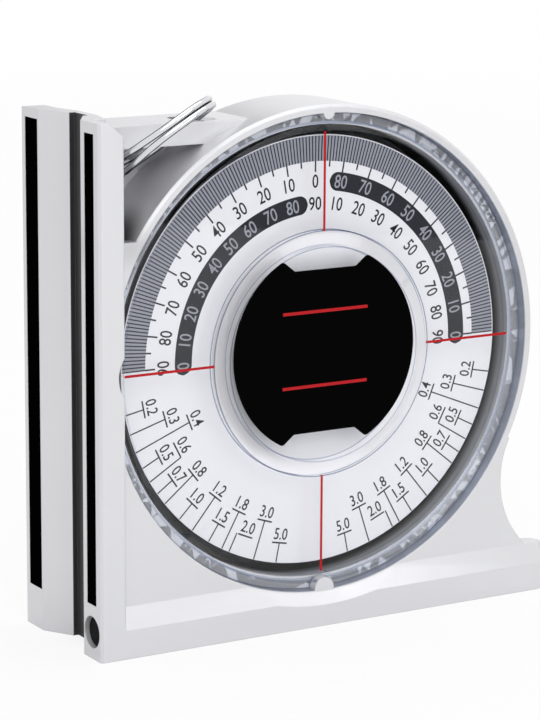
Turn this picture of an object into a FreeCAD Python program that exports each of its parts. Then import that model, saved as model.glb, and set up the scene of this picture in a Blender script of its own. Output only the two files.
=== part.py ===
import FreeCAD, Part
import math
import os
from FreeCAD import Vector

# Magnetic angle finder with a gravity dial, in millimetres.
# X runs to the right along the base, Y runs from the front face to the back, Z runs up.
# The origin is the middle of the measuring face under the base.

# Frame casting
frame_width = 100.0
frame_height = 100.0
frame_depth = 31.0
corner_radius = 1.0
edge_chamfer = 0.5

# Left rail: two lands with a V groove and a relief slot between them
rail_width = 5.1
front_land = 7.0
groove_opening = 17.1
flank_depth = 3.5
flank_width = 5.9
slot_opening = 5.3
slot_depth = 1.0
rail_wall = 1.8
wing_thickness = 4.8
rail_chamfer_along = 2.9
rail_chamfer_down = 2.5

# Base rail
base_height = 5.5
bevel_rise = 4.3
panel_setback = 1.1
toe_radius = 2.5

# Panels beside the drum
panel_thickness = 3.0
left_panel_top = 78.0
neck_x = 90.0
neck_z = 23.7

# Top bar that carries the split ring
bar_bottom = 94.3
bar_top = 98.5
bar_setback = 6.0
bar_root = 5.0
web_thickness = 1.8

# Drum housing
drum_x = 49.0
drum_z = 53.0
drum_radius = 47.8
drum_depth = 18.5
drum_setback = 1.1
ring_wall = 1.6
mouth_lip = 0.2
mouth_flare = 2.4
floor_thickness = 3.0
back_recess = 2.0
back_rim = 2.6
boss_radius = 5.5
boss_clearance = 1.7
rib_count = 6
rib_thickness = 1.6
rib_hub_radius = 8.0
gusset_thickness = 2.0
gusset_height = 9.0
gusset_shares = (0.2, 0.8)

# Index keys that stop the lens from turning
top_key_radius = 1.2
top_key_reach = 1.2
bottom_key_radius = 2.1
bottom_key_reach = 2.5
key_length = 1.85
key_pad = 1.1

# Shallow scoop in the rail's edge for the lens, whose left side is cut straight along the rail
scoop_radius = 6.8
scoop_reach = 1.15
scoop_z = 53.3

# Clear lens
lens_gap = 0.15
lens_setback = 1.3
flange_thickness = 2.15
flange_width = 1.9
step_width = 1.4
window_setback = 2.5
window_thickness = 1.5
seat_overlap = 2.4
centre_height = 0.7
centre_radius = 23.3
centre_top_radius = 21.2
socket_radius = 3.0
socket_length = 1.2
gasket_thickness = 0.4
gasket_width = 1.6

# Red hairlines set into the lens
hairline_width = 0.5
hairline_depth = 0.3
hairline_inner = 23.7
hairline_outer = 42.6

# Label plate on the lens
label_radius = 20.0
label_rise = 0.9
label_thickness = 0.3
label_inset = 0.2
notch_level = 15.7
notch_floor_width = 13.6
notch_mouth_width = 18.6
notch_round = 0.8
thumb_depth = 0.4
thumb_margin = 0.6

# Gravity dial
dial_radius = 41.6
dial_setback = 5.85
face_thickness = 0.15
plate_thickness = 0.8
hub_radius = 4.0
hub_length = 3.0
hub_flange_radius = 7.0
hub_flange_thickness = 0.8
axle_radius = 0.75
axle_front = 4.45
axle_length = 9.3
axle_chamfer = 0.25
weight_inner = 27.0
weight_outer = 38.5
weight_angle = 100.0
weight_thickness = 3.0
rivet_radius = 1.0
rivet_head_radius = 1.8
rivet_head = 0.5
rivet_angle = 35.0

# Bearings
running_clearance = 0.05
fit_gap = 0.02
front_bearing_radius = 1.9
front_bearing_length = 1.9
bearing_end_wall = 0.7
screw_radius = 2.0
screw_length = 7.0
screw_front = 12.4
driver_slot_width = 0.6
driver_slot_depth = 0.8
cup_radius = 1.3
cup_depth = 1.6
nut_across_flats = 7.0
nut_thickness = 1.8

# Strip magnets and the steel keepers behind them
magnet_thickness = 1.5
keeper_thickness = 0.5
magnet_recess = 0.1
front_strip_start = 1.95
front_strip_width = 3.7
front_strip_low = 10.4
front_strip_high = 98.0
rear_strip_start = 24.55
rear_strip_width = 5.25
rear_strip_low = 8.0
rear_strip_high = 98.3
base_strip_margin = 4.0
base_strip_start = 12.0
base_strip_end = 6.0
base_strip_width = 4.5

# Round magnet at the foot of the front land
plug_radius = 3.0
plug_gap = 0.05
plug_depth = 3.8
plug_z = 5.1
plug_length = 3.4
plug_recess = 0.9
plug_chamfer = 0.3

# Split ring, two turns of wire threaded through the top bar
wire_radius = 0.5
coil_radius = 10.8
coil_pitch = 1.45
coil_turns = 1.94
ring_x = 16.1
ring_from_back = 13.5
ring_y = drum_depth - ring_from_back
ring_z = 96.4
ring_hole_radius = 2.8
ring_hole_turn = 52.0
ring_hole_inward = 0.3
ring_along_shares = (0.869, 0.0, 0.495)
ring_out_shares = (-0.452, 0.406, 0.794)

overrun = 1.0

key_sizes = ((top_key_radius, top_key_reach, 1), (bottom_key_radius, bottom_key_reach, -1))
left = -frame_width / 2
front = -frame_depth / 2
drum_bore = drum_radius - ring_wall
seat_depth = lens_setback + flange_thickness + gasket_thickness
chamber_radius = drum_bore - seat_overlap
groove_end = front_land + groove_opening
slot_back = flank_depth + slot_depth
rail_back = slot_back + rail_wall
floor_back = drum_depth - back_recess


def at(x, y, z):
    """Turns sizes measured from the frame's front lower left corner into a place."""
    return Vector(left + x, front + y, z)


def box(x_from, x_to, y_from, y_to, z_from, z_to):
    """A block between two corners measured from the frame's corner."""
    return Part.makeBox(x_to - x_from, y_to - y_from, z_to - z_from, at(x_from, y_from, z_from))


def drum_point(radius, degrees, y):
    """A place on a circle round the drum's axis, with the angle taken clockwise from the top."""
    turn = math.radians(degrees)
    return at(drum_x + radius * math.sin(turn), y, drum_z + radius * math.cos(turn))


def disc(radius, y_from, y_to, x=drum_x, z=drum_z):
    """A round piece along Y."""
    return Part.makeCylinder(radius, y_to - y_from, at(x, y_from, z), Vector(0, 1, 0))


def turned(profile):
    """A piece turned about the drum's axis from points of radius and depth."""
    points = [at(drum_x + radius, depth, drum_z) for radius, depth in profile]
    face = Part.Face(Part.makePolygon(points + [points[0]]))
    return face.revolve(at(drum_x, 0, drum_z), Vector(0, 1, 0), 360)


def prism_up(outline, z_from, z_to):
    """An upright prism on an outline of X and Y."""
    points = [at(x, y, z_from) for x, y in outline]
    face = Part.Face(Part.makePolygon(points + [points[0]]))
    return face.extrude(Vector(0, 0, z_to - z_from))


def prism_along(outline, x_from, x_to):
    """A prism along X on an outline of Y and Z."""
    points = [at(x_from, y, z) for y, z in outline]
    face = Part.Face(Part.makePolygon(points + [points[0]]))
    return face.extrude(Vector(x_to - x_from, 0, 0))


def edges_where(shape, test):
    """The straight edges of a shape whose two ends both pass a test."""
    found = []
    for edge in shape.Edges:
        ends = [vertex.Point for vertex in edge.Vertexes]
        if len(ends) == 2 and all(test(point) for point in ends):
            found.append(edge)
    return found


# Frame


def groove():
    """The V groove and the relief slot at its bottom, as a solid to cut away."""
    slot_end = groove_end - flank_width
    outline = [
        (-overrun, front_land),
        (0, front_land),
        (flank_depth, front_land + flank_width),
        (flank_depth, slot_end - slot_opening),
        (slot_back, slot_end - slot_opening),
        (slot_back, slot_end),
        (flank_depth, slot_end),
        (0, groove_end),
        (-overrun, groove_end),
    ]
    return prism_up(outline, -overrun, frame_height + overrun)


def rail():
    """The left rail, whose back follows the groove that is cut into it."""
    slot_end = groove_end - flank_width
    outline = [
        (0, 0),
        (0, frame_depth),
        (wing_thickness, frame_depth),
        (wing_thickness, groove_end + rail_wall),
        (rail_back, slot_end + rail_wall),
        (rail_back, front_land + flank_width),
        (rail_width, front_land),
        (rail_width, 0),
    ]
    body = prism_up(outline, 0, frame_height)
    shoulder = Part.Face(Part.makePolygon([
        at(rail_width - rail_chamfer_along, 0, frame_height),
        at(rail_width, 0, frame_height),
        at(rail_width, 0, frame_height - rail_chamfer_down),
        at(rail_width - rail_chamfer_along, 0, frame_height),
    ]))
    return body.cut(shoulder.extrude(Vector(0, front_land, 0)))


def base():
    """The base rail, with the bevel up to the panels, the drum's flared mouth and a rounded toe."""
    bevel_top = base_height + bevel_rise
    panel_back = panel_setback + panel_thickness
    outline = [
        (0, 0),
        (frame_depth, 0),
        (frame_depth, base_height),
        (panel_back, base_height),
        (panel_back, bevel_top),
        (panel_setback, bevel_top),
        (0, base_height),
    ]
    lip = drum_bore + mouth_lip
    slope = mouth_flare / drum_setback
    mouth = turned([
        (0, -overrun),
        (lip + mouth_flare + slope * overrun, -overrun),
        (lip, drum_setback),
        (0, drum_setback),
    ])
    body = prism_along(outline, 0, frame_width).cut(mouth)
    end = left + frame_width

    def at_toe(point):
        return abs(point.x - end) < edge_chamfer and point.z > base_height / 2

    body = body.makeFillet(toe_radius, edges_where(body, at_toe)[:2])

    def at_lower_corner(point):
        return abs(point.x - end) < edge_chamfer and point.z < edge_chamfer

    return body.makeFillet(corner_radius, edges_where(body, at_lower_corner))


def right_panel():
    """The panel right of the drum, whose edge curves from the drum down to the toe."""
    drop = drum_z - neck_z
    reach = neck_x - drum_x
    arc_radius = (drum_radius ** 2 - reach ** 2 - drop ** 2) / (2 * (reach - drum_radius))
    centre_x = neck_x + arc_radius
    y_from = panel_setback
    bevel_top = base_height + bevel_rise
    toe_turn = math.asin((neck_z - bevel_top) / arc_radius)
    meet_turn = math.atan2(drop, centre_x - drum_x)
    foot = at(centre_x - arc_radius * math.cos(toe_turn), y_from, bevel_top)
    waist = at(neck_x, y_from, neck_z)
    meet = at(centre_x - arc_radius * math.cos(meet_turn), y_from,
              neck_z + arc_radius * math.sin(meet_turn))
    centre = at(drum_x, y_from, drum_z)
    below = at(drum_x, y_from, base_height)
    foot_low = Vector(foot.x, foot.y, base_height)
    wire = Part.Wire([
        Part.makeLine(below, foot_low),
        Part.makeLine(foot_low, foot),
        Part.Arc(foot, waist, meet).toShape(),
        Part.makeLine(meet, centre),
        Part.makeLine(centre, below),
    ])
    return Part.Face(wire).extrude(Vector(0, panel_thickness, 0))


def left_panel():
    """The panel left of the drum, from the base to the foot of the open corner."""
    return box(rail_width - rail_chamfer_down, drum_x, panel_setback, panel_setback + panel_thickness,
               base_height, left_panel_top)


def top_bar():
    """The bar between the rail and the drum that carries the split ring."""
    return box(bar_root, drum_x, bar_setback, drum_depth, bar_bottom, bar_top)


def corner_web():
    """The thin wall that closes the corner between the rail and the drum at the back."""
    web = box(bar_root, drum_x, drum_depth - web_thickness, drum_depth, left_panel_top, bar_bottom)
    return web.cut(disc(drum_radius - back_rim, 0, drum_depth + overrun))


def ring_hole():
    """The slanting hole through the bar for the split ring."""
    centre, along, across, _ = ring_frame()
    turn = math.radians(ring_hole_turn)
    outward = along * math.cos(turn) + across * math.sin(turn)
    run = across * math.cos(turn) - along * math.sin(turn)
    middle = centre + outward * (coil_radius - ring_hole_inward)
    return Part.makeCylinder(ring_hole_radius, coil_radius * 2, middle - run * coil_radius, run)


def back_pocket():
    """The hollow in the drum's back, with stiffening ribs left standing from its hub to its rim."""
    pocket = disc(drum_radius - back_rim, floor_back, drum_depth + overrun)
    pocket = pocket.cut(disc(rib_hub_radius, floor_back, drum_depth + overrun))
    pocket = pocket.fuse(disc(rib_hub_radius - rib_thickness, floor_back, drum_depth + overrun))
    pocket = pocket.cut(box(0, rail_back, 0, frame_depth, 0, frame_height))
    for number in range(rib_count):
        rib_root = drum_z + rib_hub_radius - rib_thickness / 2
        rib = Part.makeBox(rib_thickness, back_recess + overrun, drum_radius - rib_hub_radius,
                           at(drum_x - rib_thickness / 2, floor_back, rib_root))
        rib.rotate(at(drum_x, 0, drum_z), Vector(0, 1, 0), (number + 1 / 2) * 360 / rib_count)
        pocket = pocket.cut(rib)
    return pocket


def gussets():
    """The webs between the base and the back of the panels."""
    panel_back = panel_setback + panel_thickness
    outline = [
        (panel_setback, base_height / 2),
        (frame_depth - base_height, base_height / 2),
        (frame_depth - base_height, base_height),
        (panel_back, base_height + gusset_height),
        (panel_setback, base_height + gusset_height),
    ]
    webs = []
    for share in gusset_shares:
        start = share * frame_width - gusset_thickness / 2
        webs.append(prism_along(outline, start, start + gusset_thickness))
    return webs


def key_pads():
    """The rounded pads on the lens that hold the notches for the keys."""
    pads = []
    for radius, reach, side in key_sizes:
        pad = disc(radius + key_pad, lens_setback, window_setback + window_thickness,
                   drum_x, drum_z + side * (drum_bore - reach + radius))
        pads.append(pad.common(disc(drum_bore - lens_gap, lens_setback, lens_setback + flange_thickness)))
    return pads


def index_keys(gap):
    """The half-round keys at the top and bottom of the lens seat, grown by a gap."""
    y_from = drum_setback
    y_to = lens_setback + key_length
    keys = []
    for radius, reach, side in key_sizes:
        tip = drum_bore - reach + radius
        grown = radius + gap
        key = disc(grown, y_from, y_to + gap, drum_x, drum_z + side * tip)
        rest = drum_radius - ring_wall / 2 - tip
        stem = box(drum_x - grown, drum_x + grown, y_from, y_to + gap, 0, rest)
        shift = drum_z + tip if side > 0 else drum_z - tip - rest
        stem.translate(Vector(0, 0, shift))
        keys.append(key.fuse(stem))
    return keys


def rail_strip(gap):
    """The part of the lens seat that lies within the rail's width, grown by a gap."""
    return box(0, rail_width + gap, -overrun, seat_depth + overrun, 0, frame_height)


def rail_stop(gap):
    """The part of the lens seat that the rail fills, less the scoop in its edge, grown by a gap."""
    scoop_x = rail_width - scoop_reach + scoop_radius
    scoop = disc(scoop_radius - gap, -overrun * 2, seat_depth + overrun * 2, scoop_x, scoop_z)
    return rail_strip(gap).cut(scoop)


def strip_places():
    """Each strip magnet: its name, its face's direction and the corners of its pocket."""
    depth = magnet_recess + magnet_thickness + keeper_thickness
    rear_start = frame_depth - base_strip_margin - base_strip_width
    x_end = frame_width - base_strip_end
    return [
        ("rail_front", "x", depth, front_strip_start, front_strip_start + front_strip_width,
         front_strip_low, front_strip_high),
        ("rail_rear", "x", depth, rear_strip_start, rear_strip_start + rear_strip_width,
         rear_strip_low, rear_strip_high),
        ("base_front", "z", depth, base_strip_margin, base_strip_margin + base_strip_width,
         base_strip_start, x_end),
        ("base_rear", "z", depth, rear_start, rear_start + base_strip_width, base_strip_start, x_end),
    ]


def strip_block(place, near, far):
    """A layer of one strip magnet's pocket, between two depths below the measuring face."""
    _, facing, _, y_from, y_to, low, high = place
    if facing == "x":
        return box(near, far, y_from, y_to, low, high)
    return box(low, high, y_from, y_to, near, far)


def frame():
    """The whole casting."""
    body = disc(drum_radius, drum_setback, drum_depth)
    front_edges = [edge for edge in body.Edges if edge.BoundBox.YMax < front + drum_depth / 2]
    body = body.makeChamfer(edge_chamfer, front_edges)
    for piece in [rail(), base(), right_panel(), left_panel(), top_bar()] + gussets():
        body = body.fuse(piece)
    body = body.cut(disc(drum_bore, -overrun, seat_depth).cut(rail_stop(0)))
    body = body.cut(disc(chamber_radius, 0, floor_back - floor_thickness))
    body = body.cut(back_pocket())
    boss_front = dial_setback + face_thickness + plate_thickness + hub_length + boss_clearance
    body = body.fuse(disc(boss_radius, boss_front, floor_back - floor_thickness / 2))
    body = body.cut(disc(screw_radius + fit_gap, boss_front - overrun, drum_depth + overrun))
    for key in index_keys(0):
        body = body.fuse(key)
    body = body.removeSplitter().cut(ring_hole()).fuse(corner_web())
    body = body.cut(groove())
    reach = edge_chamfer + overrun
    wedge = [(-overrun, -overrun), (reach, -overrun), (-overrun, reach)]
    body = body.cut(prism_up(wedge, -overrun, frame_height + overrun))
    for place in strip_places():
        body = body.cut(strip_block(place, -overrun, place[2]))
    plug_bore = Part.makeCylinder(plug_radius + plug_gap, plug_recess + plug_length + overrun,
                                  at(-overrun, plug_depth, plug_z), Vector(1, 0, 0))
    return body.cut(plug_bore)


# Lens and what it carries


def label_body(y_from, thickness, grow):
    """A disc with a rounded notch at its top and bottom, grown by a gap."""
    radius = label_radius + grow
    level = notch_level + grow
    floor_half = notch_floor_width / 2 - grow
    mouth_half = notch_mouth_width / 2 - grow
    edge = math.sqrt(radius ** 2 - mouth_half ** 2)

    def spot(x, z):
        return at(drum_x + x, y_from, drum_z + label_rise + z)

    wire = Part.Wire([
        Part.Arc(spot(mouth_half, edge), spot(radius, 0), spot(mouth_half, -edge)).toShape(),
        Part.makeLine(spot(mouth_half, -edge), spot(floor_half, -level)),
        Part.makeLine(spot(floor_half, -level), spot(-floor_half, -level)),
        Part.makeLine(spot(-floor_half, -level), spot(-mouth_half, -edge)),
        Part.Arc(spot(-mouth_half, -edge), spot(-radius, 0), spot(-mouth_half, edge)).toShape(),
        Part.makeLine(spot(-mouth_half, edge), spot(-floor_half, level)),
        Part.makeLine(spot(-floor_half, level), spot(floor_half, level)),
        Part.makeLine(spot(floor_half, level), spot(mouth_half, edge)),
    ])
    body = Part.Face(wire).extrude(Vector(0, thickness, 0))
    upright = [edge for edge in body.Edges if edge.BoundBox.XLength + edge.BoundBox.ZLength < fit_gap]
    return body.makeFillet(notch_round, upright)


def label_plate():
    """The black plate in the middle of the lens."""
    return label_body(window_setback - centre_height + label_inset - label_thickness, label_thickness, 0)


def thumb_recess():
    """The two shallow recesses in the lens beside the label's notches."""
    top = window_setback - centre_height
    band = disc(centre_top_radius - thumb_margin, top - overrun, top + thumb_depth)
    half = (notch_floor_width - thumb_margin) / 2
    keep = box(drum_x - half, drum_x + half, top - overrun, top + overrun,
               drum_z - centre_radius, drum_z + centre_radius)
    level = notch_level + thumb_margin
    label_z = drum_z + label_rise
    middle = box(drum_x - notch_mouth_width, drum_x + notch_mouth_width, top - overrun * 2, top + overrun,
                 label_z - level, label_z + level)
    return band.common(keep).cut(middle)


def hairlines(extra):
    """The four hairlines, with their front grown by an extra height for cutting."""
    lines = []
    for number in range(4):
        line = box(drum_x - hairline_width / 2, drum_x + hairline_width / 2,
                   window_setback - extra, window_setback + hairline_depth,
                   drum_z + hairline_inner, drum_z + hairline_outer)
        line.rotate(at(drum_x, 0, drum_z), Vector(0, 1, 0), number * 90)
        lines.append(line)
    return lines


def lens():
    """The clear lens: flange, step, window and raised centre, with a bearing socket behind."""
    outer = drum_bore - lens_gap
    flange_inner = outer - flange_width
    window_back = window_setback + window_thickness
    flange_back = lens_setback + flange_thickness
    plate = turned([
        (0, window_setback - centre_height),
        (centre_top_radius, window_setback - centre_height),
        (centre_radius, window_setback),
        (flange_inner - step_width, window_setback),
        (flange_inner, lens_setback),
        (outer, lens_setback),
        (outer, flange_back),
        (chamber_radius - lens_gap, flange_back),
        (chamber_radius - lens_gap, window_back),
        (socket_radius, window_back),
        (socket_radius, window_back + socket_length),
        (0, window_back + socket_length),
    ])
    inset = window_setback - centre_height
    for pad in key_pads():
        plate = plate.fuse(pad)
    plate = plate.cut(label_body(inset - overrun, overrun + label_inset, fit_gap))
    plate = plate.cut(thumb_recess())
    for line in hairlines(overrun):
        plate = plate.cut(line)
    for key in index_keys(lens_gap) + [rail_stop(lens_gap)]:
        plate = plate.cut(key)
    bore_depth = window_back + socket_length - front_bearing_length
    return plate.cut(disc(front_bearing_radius, bore_depth, window_back + socket_length + overrun))


def lens_gasket():
    """The soft ring between the lens flange and its seat."""
    y_from = lens_setback + flange_thickness
    outer = drum_bore - lens_gap
    ring = disc(outer, y_from, y_from + gasket_thickness).cut(
        disc(outer - gasket_width, y_from - overrun, y_from + overrun))
    return ring.cut(rail_strip(lens_gap))


# Dial and pivot


def dial_face():
    """The printed foil on the front of the dial."""
    return disc(dial_radius, dial_setback, dial_setback + face_thickness).cut(
        disc(hub_radius, dial_setback - overrun, dial_setback + overrun))


def dial_plate():
    """The stiff disc behind the foil."""
    y_from = dial_setback + face_thickness
    plate = disc(dial_radius, y_from, y_from + plate_thickness)
    plate = plate.cut(disc(hub_radius, y_from - overrun, y_from + overrun * 2))
    for place in rivet_points():
        plate = plate.cut(disc(rivet_radius, y_from - overrun, y_from + overrun * 2, *place))
    return plate


def dial_hub():
    """The hub that clamps the dial to the axle."""
    plate_back = dial_setback + face_thickness + plate_thickness
    body = disc(hub_radius, dial_setback, plate_back + hub_length)
    body = body.fuse(disc(hub_flange_radius, plate_back, plate_back + hub_flange_thickness))
    return body.cut(disc(axle_radius, dial_setback - overrun, plate_back + hub_length + overrun))


def pivot_axle():
    """The axle, whose two ends run in the bearings."""
    axle = disc(axle_radius, axle_front, axle_front + axle_length)
    return axle.makeChamfer(axle_chamfer, axle.Edges)


def rivet_points():
    """Where the rivets hold the weight, as X and Z from the frame's corner."""
    middle = (weight_inner + weight_outer) / 2
    places = []
    for degrees in (180 - rivet_angle, 180, 180 + rivet_angle):
        turn = math.radians(degrees)
        places.append((drum_x + middle * math.sin(turn), drum_z + middle * math.cos(turn)))
    return places


def counterweight():
    """The crescent that brings the dial's zero to the top."""
    y_from = dial_setback + face_thickness + plate_thickness
    y_to = y_from + weight_thickness
    ring = Part.makeCylinder(weight_outer, y_to - y_from, at(drum_x, y_from, drum_z),
                             Vector(0, 1, 0), weight_angle)
    hole = disc(weight_inner, y_from - overrun, y_to + overrun)
    body = ring.cut(hole)
    middle = body.Solids[0].CenterOfMass - at(drum_x, (y_from + y_to) / 2, drum_z)
    heading = math.degrees(math.atan2(middle.x, middle.z))
    body.rotate(at(drum_x, 0, drum_z), Vector(0, 1, 0), 180 - heading)
    for place in rivet_points():
        body = body.cut(disc(rivet_radius, y_from - overrun, y_to + overrun, *place))
    return body


def weight_rivets():
    """The three rivets through the dial and the weight."""
    y_from = dial_setback + face_thickness
    y_to = y_from + plate_thickness + weight_thickness
    rivets = []
    for place in rivet_points():
        shank = disc(rivet_radius, y_from, y_to + rivet_head, *place)
        head = disc(rivet_head_radius, y_to, y_to + rivet_head, *place)
        rivets.append(shank.fuse(head).removeSplitter())
    return Part.makeCompound(rivets)


def front_bearing():
    """The jewel cup in the lens for the axle's front end."""
    back = window_setback + window_thickness + socket_length
    body = disc(front_bearing_radius, back - front_bearing_length, back)
    return body.cut(disc(axle_radius + running_clearance, back - front_bearing_length + bearing_end_wall,
                         back + overrun))


def bearing_screw():
    """The slotted screw at the back that sets the axle's end play."""
    back = screw_front + screw_length
    body = disc(screw_radius, screw_front, back)
    body = body.cut(disc(cup_radius, screw_front - overrun, screw_front + cup_depth))
    slot = box(drum_x - screw_radius * 2, drum_x + screw_radius * 2,
               back - driver_slot_depth, back + overrun,
               drum_z - driver_slot_width / 2, drum_z + driver_slot_width / 2)
    return body.cut(slot)


def rear_bearing():
    """The jewel cup in the screw's front end."""
    body = disc(cup_radius, screw_front, screw_front + cup_depth)
    return body.cut(disc(axle_radius + running_clearance, screw_front - overrun,
                         axle_front + axle_length + running_clearance * 2))


def bearing_nut():
    """The hexagonal nut that locks the screw."""
    radius = nut_across_flats / math.sqrt(3)
    points = [drum_point(radius, 60 * number, floor_back) for number in range(6)]
    nut = Part.Face(Part.makePolygon(points + [points[0]])).extrude(Vector(0, nut_thickness, 0))
    return nut.cut(disc(screw_radius + fit_gap, floor_back - overrun, floor_back + nut_thickness + overrun))


# Magnets


def strip_magnet(place):
    """One strip magnet in its pocket."""
    return strip_block(place, magnet_recess, magnet_recess + magnet_thickness)


def strip_keeper(place):
    """The steel strip between a magnet and the bottom of its pocket."""
    return strip_block(place, magnet_recess + magnet_thickness, place[2])


def end_magnet():
    """The round magnet at the foot of the front land."""
    body = Part.makeCylinder(plug_radius, plug_length, at(plug_recess, plug_depth, plug_z), Vector(1, 0, 0))
    return body.makeChamfer(plug_chamfer, [edge for edge in body.Edges if edge.BoundBox.XLength < fit_gap])


# Split ring


def ring_frame():
    """The split ring's middle and its directions: along, across and out of its plane."""
    along = Vector(*ring_along_shares)
    along.normalize()
    out = Vector(*ring_out_shares)
    out.normalize()
    across = out.cross(along)
    return at(ring_x, ring_y, ring_z), along, across, out


def ring_point(turns):
    """A place on the middle line of the split ring's wire."""
    middle, along, across, out = ring_frame()
    angle = 2 * math.pi * turns
    lift = coil_pitch * (turns - coil_turns / 2)
    flat = along * (coil_radius * math.cos(angle)) + across * (coil_radius * math.sin(angle))
    return middle + flat + out * lift


def ring_heading(turns):
    """The direction in which the wire runs at a place."""
    _, along, across, out = ring_frame()
    angle = 2 * math.pi * turns
    round_ring = across * (coil_radius * math.cos(angle)) - along * (coil_radius * math.sin(angle))
    heading = round_ring * 2 * math.pi + out * coil_pitch
    heading.normalize()
    return heading


def arc_to(start, corner, end):
    """The arc from a start to an end that touches both lines to the corner between them."""
    half_chord = start.distanceToPoint(end) / 2
    weight = half_chord / start.distanceToPoint(corner)
    middle = (start + corner * (2 * weight) + end) * (1 / (2 + 2 * weight))
    return Part.Arc(start, middle, end).toShape()


def biarc(start, start_heading, end, end_heading):
    """Two arcs that meet smoothly and join two places along their headings."""
    chord = end - start
    both = start_heading + end_heading
    spread = 2 * (1 - start_heading.dot(end_heading))
    lean = chord.dot(both)
    reach = (math.sqrt(lean ** 2 + spread * chord.dot(chord)) - lean) / spread
    first_corner = start + start_heading * reach
    second_corner = end - end_heading * reach
    meeting = (first_corner + second_corner) * (1 / 2)
    return [arc_to(start, first_corner, meeting), arc_to(meeting, second_corner, end)]


def split_ring():
    """Two turns of round wire, swept along smooth pairs of arcs."""
    quarters = math.ceil(coil_turns * 4)
    step = coil_turns / quarters
    arcs = []
    for number in range(quarters):
        here = number * step
        there = here + step
        arcs += biarc(ring_point(here), ring_heading(here), ring_point(there), ring_heading(there))
    section = Part.Wire([Part.makeCircle(wire_radius, ring_point(0), ring_heading(0))])
    return Part.Wire(arcs).makePipeShell([section], True, False)


def least_gap():
    """The smallest clear space between one turn of the wire and the next."""
    samples = 400
    places = [ring_point(coil_turns * number / samples) for number in range(samples + 1)]
    apart = samples / coil_turns / 2
    gaps = []
    for first in range(samples + 1):
        for second in range(first + int(apart), samples + 1):
            gaps.append(places[first].distanceToPoint(places[second]))
    return min(gaps) - wire_radius * 2


def main():
    """Writes every piece to its own file."""
    os.makedirs("parts", exist_ok=True)
    pieces = {
        "frame": frame(),
        "lens": lens(),
        "lens_gasket": lens_gasket(),
        "hairlines": Part.makeCompound(hairlines(0)),
        "label_plate": label_plate(),
        "dial_face": dial_face(),
        "dial_plate": dial_plate(),
        "dial_hub": dial_hub(),
        "pivot_axle": pivot_axle(),
        "front_bearing": front_bearing(),
        "bearing_screw": bearing_screw(),
        "rear_bearing": rear_bearing(),
        "bearing_nut": bearing_nut(),
        "counterweight": counterweight(),
        "weight_rivets": weight_rivets(),
        "end_magnet": end_magnet(),
        "split_ring": split_ring(),
    }
    for place in strip_places():
        pieces[place[0] + "_magnet"] = strip_magnet(place)
        pieces[place[0] + "_keeper"] = strip_keeper(place)
    for name, shape in pieces.items():
        shape.exportStep(f"parts/{name}.step")
        print(name, "solids", len(shape.Solids), "valid", shape.isValid(), "volume", round(shape.Volume, 2))
    print("least gap between the turns of the split ring", round(least_gap(), 3))


main()
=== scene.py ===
"""Square-framed angle finder: finishes, dial print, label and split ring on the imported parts.

Lengths are in millimetres in the sizes of each class, and in metres in the meshes.
"""

import logging
import math
from dataclasses import dataclass
from enum import Enum

import bmesh
import bpy
from mathutils import Matrix, Vector


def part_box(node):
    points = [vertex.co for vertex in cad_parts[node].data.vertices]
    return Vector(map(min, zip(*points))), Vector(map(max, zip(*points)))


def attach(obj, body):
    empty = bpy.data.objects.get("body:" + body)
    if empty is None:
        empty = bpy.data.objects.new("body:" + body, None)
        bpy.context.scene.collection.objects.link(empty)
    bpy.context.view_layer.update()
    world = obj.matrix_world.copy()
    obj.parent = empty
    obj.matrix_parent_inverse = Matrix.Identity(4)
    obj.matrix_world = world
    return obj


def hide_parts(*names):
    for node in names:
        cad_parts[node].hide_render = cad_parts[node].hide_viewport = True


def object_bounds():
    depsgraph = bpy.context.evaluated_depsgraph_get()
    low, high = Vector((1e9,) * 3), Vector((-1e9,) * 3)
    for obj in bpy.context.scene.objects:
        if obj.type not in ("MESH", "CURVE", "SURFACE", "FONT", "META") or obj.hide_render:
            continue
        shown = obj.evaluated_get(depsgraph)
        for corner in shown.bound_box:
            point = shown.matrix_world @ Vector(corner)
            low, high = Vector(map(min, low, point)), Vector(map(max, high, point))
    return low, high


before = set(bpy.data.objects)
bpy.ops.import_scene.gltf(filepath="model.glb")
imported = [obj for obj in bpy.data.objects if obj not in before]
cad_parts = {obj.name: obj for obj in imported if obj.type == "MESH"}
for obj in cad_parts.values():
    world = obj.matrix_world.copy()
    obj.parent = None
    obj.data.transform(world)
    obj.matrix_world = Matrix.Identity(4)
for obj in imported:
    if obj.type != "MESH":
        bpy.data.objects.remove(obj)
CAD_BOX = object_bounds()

log = logging.getLogger("angle_finder")

Tree = bpy.types.NodeTree
Socket = bpy.types.NodeSocket
Pair = tuple[float, float]
Triple = tuple[float, float, float]

MM = 0.001
# The drum's axis, in millimetres.
DRUM_X = -1.0
DRUM_Z = 53.0
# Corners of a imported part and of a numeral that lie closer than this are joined, in metres.
JOIN_GAP = 2e-6
WELD_GAP = 1e-6
# An edge stays sharp where its faces meet at more than this.
CREASE_DEG = 30.0
# Where most values of a noise texture lie.
CLOUD_RANGE = (0.3, 0.7)
# Turns flat lettering upright, with its face to the front.
UPRIGHT = Matrix(((1, 0, 0, 0), (0, 0, -1, 0), (0, 1, 0, 0), (0, 0, 0, 1)))


class Body(Enum):
    """The three bodies that move against each other."""

    HOUSING = "housing"
    DIAL = "dial"
    RING = "ring"


class Tops(Enum):
    """Which way the tops of printed numerals point, as a turn in degrees."""

    OUTWARD = 0.0
    INWARD = 180.0


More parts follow.
